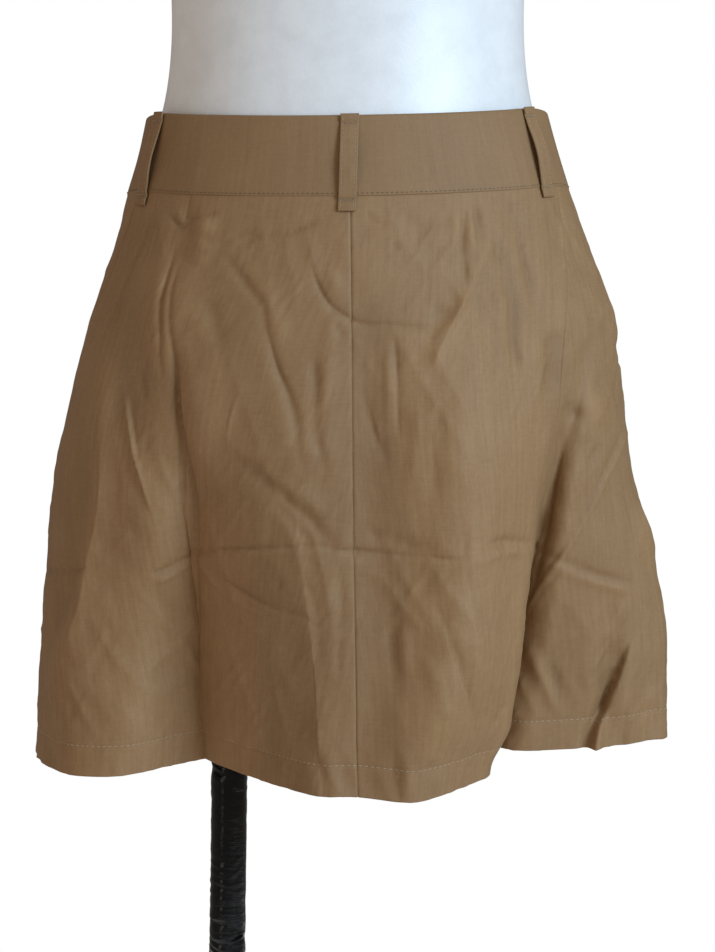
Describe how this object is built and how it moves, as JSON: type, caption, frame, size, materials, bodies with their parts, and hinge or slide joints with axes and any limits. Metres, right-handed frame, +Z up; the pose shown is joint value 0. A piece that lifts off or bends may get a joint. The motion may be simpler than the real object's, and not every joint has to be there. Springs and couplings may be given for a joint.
{
  "type": "skort on a limbless hip form with a pole stand",
  "caption": "Flared twill skort with a straight waistband and belt loops, standing on a plain hip form, an offset pole and a round foot.",
  "frame": {"origin": "centre of the foot's underside, on the surface that the stand rests on", "axes": "+Z up; the garment's front faces -Y and its back +Y; the wearer's left is +X"},
  "size_m": [0.4449, 0.33, 0.845],
  "materials": {
    "cloth": "camel cotton twill with a slight sheen",
    "band": "camel cotton twill, interlined and flat",
    "shorts": "camel cotton twill, plain inner legs",
    "button": "brown resin, satin",
    "form": "white moulded shell, fine matt grain",
    "tube": "black film wrapped tightly round a tube, glossy creases",
    "steel": "black powder coat"
  },
  "bodies": {
    "root": {"skirt_back_left": "cloth", "skirt_back_right": "cloth", "skirt_front_left": "cloth", "skirt_front_right": "cloth", "waistband": "band", "belt_loop_back": "band", "belt_loop_side_left": "band", "belt_loop_side_right": "band", "belt_loop_front_left": "band", "belt_loop_front_right": "band", "shorts_left": "shorts", "shorts_right": "shorts", "button": "button", "form_torso": "form", "pole_socket": "steel", "form_pole": "tube", "pole_collar": "steel", "form_foot": "steel"}
  },
  "joints": []
}
